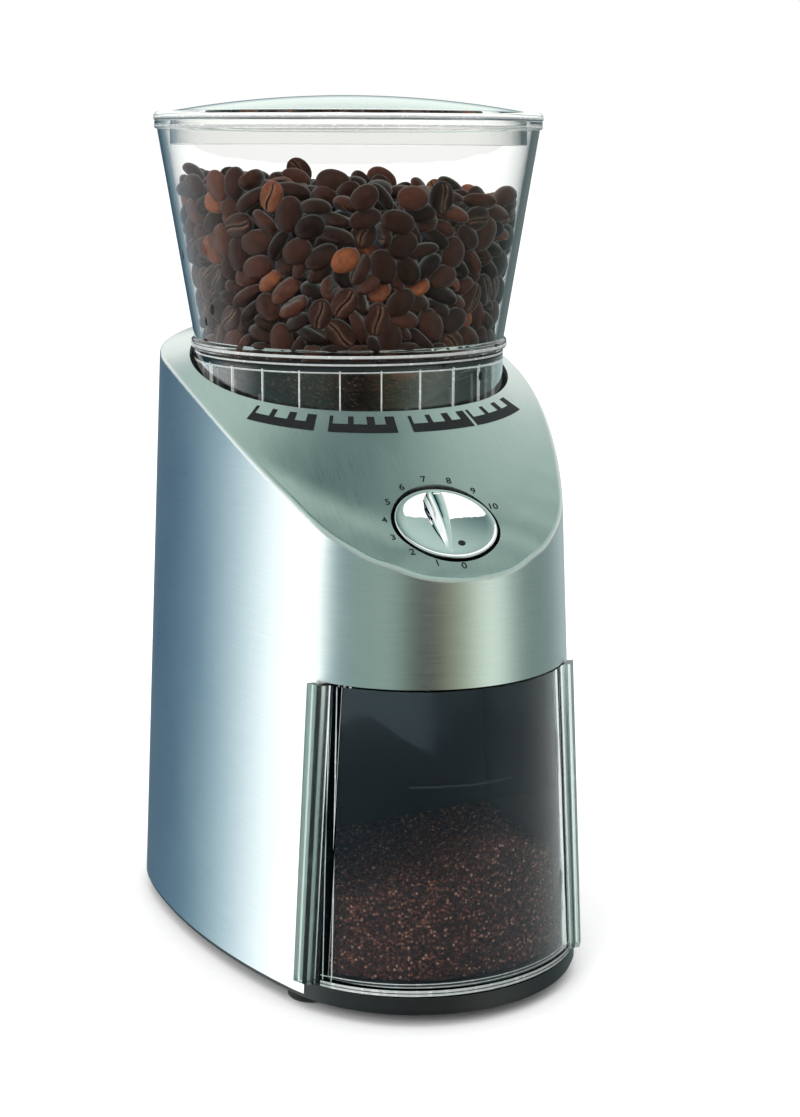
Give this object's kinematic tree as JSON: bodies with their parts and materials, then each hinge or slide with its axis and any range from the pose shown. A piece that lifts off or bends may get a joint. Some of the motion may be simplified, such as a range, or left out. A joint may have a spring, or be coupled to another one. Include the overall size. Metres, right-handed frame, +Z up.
{
  "type": "burr coffee grinder",
  "caption": "Electric conical burr coffee grinder: drafted egg-plan metal housing with sloped top, clear tapered bean hopper, timer dial and slide-out clear grounds container.",
  "frame": {"origin": "centre of the footprint on the surface the feet stand on", "axes": "+Z up, front (dial and grounds container) towards -Y, +X to the right when seen from the front"},
  "size_m": [0.133, 0.197, 0.267],
  "materials": {
    "brushed_metal": "satin, brushed round the walls",
    "black_plastic": "moulded, fine texture",
    "foot_rubber": "matte",
    "zinc_steel": "zinc plated",
    "smoky_clear": "clear with a light smoke tint, polished",
    "clear_plastic": "clear, polished",
    "motor_steel": "plain steel",
    "magnet": "sintered ferrite",
    "gear_nylon": "natural nylon",
    "bronze": "sintered bronze",
    "cast_aluminium": "as cast",
    "burr_steel": "ground tool steel",
    "chrome": "polished",
    "circuit_board": "glass-epoxy board"
  },
  "bodies": {
    "casing": {"housing_shell": "brushed_metal", "base_plate": "black_plastic", "feet": "foot_rubber", "base_screws": "zinc_steel", "bay_liner": "black_plastic", "cord_gland": "black_plastic", "outlet_chute": "black_plastic", "motor_can": "motor_steel", "motor_end_cap": "black_plastic", "motor_magnets": "magnet", "motor_cushion": "foot_rubber", "motor_plate": "zinc_steel", "motor_screws": "zinc_steel", "intermediate_axle": "zinc_steel", "gear_case": "black_plastic", "lower_shaft_bush": "bronze", "upper_shaft_bearing": "zinc_steel", "gearbox_pillars": "zinc_steel", "grinding_chamber": "cast_aluminium", "chamber_screws": "zinc_steel", "chamber_cover": "black_plastic", "hopper_seat": "black_plastic", "knob_well": "black_plastic", "timer_body": "black_plastic", "timer_nut": "zinc_steel", "interlock_switch": "black_plastic", "interlock_spring": "zinc_steel", "control_board": "circuit_board", "board_components": "black_plastic"},
    "grind_ring": {"adjusting_ring": "black_plastic"},
    "burr_holder": {"burr_carrier": "black_plastic", "ring_burr": "burr_steel", "ring_burr_screws": "zinc_steel"},
    "bean_hopper": {"hopper": "clear_plastic"},
    "lid": {"hopper_lid": "clear_plastic"},
    "timer_dial": {"timer_knob": "chrome", "timer_shaft": "zinc_steel"},
    "container": {"grounds_container": "smoky_clear"},
    "switch_button": {"interlock_plunger": "black_plastic"},
    "rotor": {"motor_rotor": "motor_steel", "motor_pinion": "zinc_steel"},
    "idler": {"intermediate_gear": "gear_nylon"},
    "burr_drive": {"output_gear": "gear_nylon", "drive_shaft": "zinc_steel", "ground_paddle": "black_plastic", "cone_burr": "burr_steel", "burr_bolt": "zinc_steel"}
  },
  "joints": [
    {"name": "hopper_turn", "type": "hinge", "parent": "casing", "child": "grind_ring", "pos_m": [0, 0.017, 0.162], "axis": [0, 0, 1], "range_deg": [-85.4, 6.1]},
    {"name": "burr_rise", "type": "slide", "parent": "grind_ring", "child": "burr_holder", "axis": [0, 0, 1], "range_m": [-0.00073, 0.00007]},
    {"name": "hopper_lift", "type": "slide", "parent": "grind_ring", "child": "bean_hopper", "axis": [0, 0, 1], "range_m": [0, 0.06]},
    {"name": "lid_lift", "type": "slide", "parent": "bean_hopper", "child": "lid", "axis": [0, 0, 1], "range_m": [0, 0.03]},
    {"name": "timer_turn", "type": "hinge", "parent": "casing", "child": "timer_dial", "pos_m": [0, -0.073, 0.1441], "axis": [0, 0.5092, -0.8606], "range_deg": [0, 250]},
    {"name": "container_slide", "type": "slide", "parent": "casing", "child": "container", "axis": [0, -1, 0], "range_m": [0, 0.09]},
    {"name": "switch_press", "type": "slide", "parent": "casing", "child": "switch_button", "axis": [0, 0, 1], "range_m": [-0.0015, 0], "stiffness_N_per_m": 300, "springref_m": 0.0005, "deforming": ["interlock_spring"]},
    {"name": "motor_spin", "type": "hinge", "parent": "casing", "child": "rotor", "pos_m": [0, 0.05, 0.06], "axis": [0, 0, 1], "continuous": true},
    {"name": "idler_spin", "type": "hinge", "parent": "casing", "child": "idler", "pos_m": [0.02345, 0.03877, 0.1], "axis": [0, 0, 1], "continuous": true},
    {"name": "burr_spin", "type": "hinge", "parent": "casing", "child": "burr_drive", "pos_m": [0, 0.017, 0.12], "axis": [0, 0, 1], "continuous": true}
  ],
  "couplings": [
    {"joint": "burr_rise", "follows": "hopper_turn", "m_per_rad": 0.00047746},
    {"joint": "idler_spin", "follows": "motor_spin", "ratio": -0.3},
    {"joint": "burr_spin", "follows": "motor_spin", "ratio": 0.1}
  ]
}
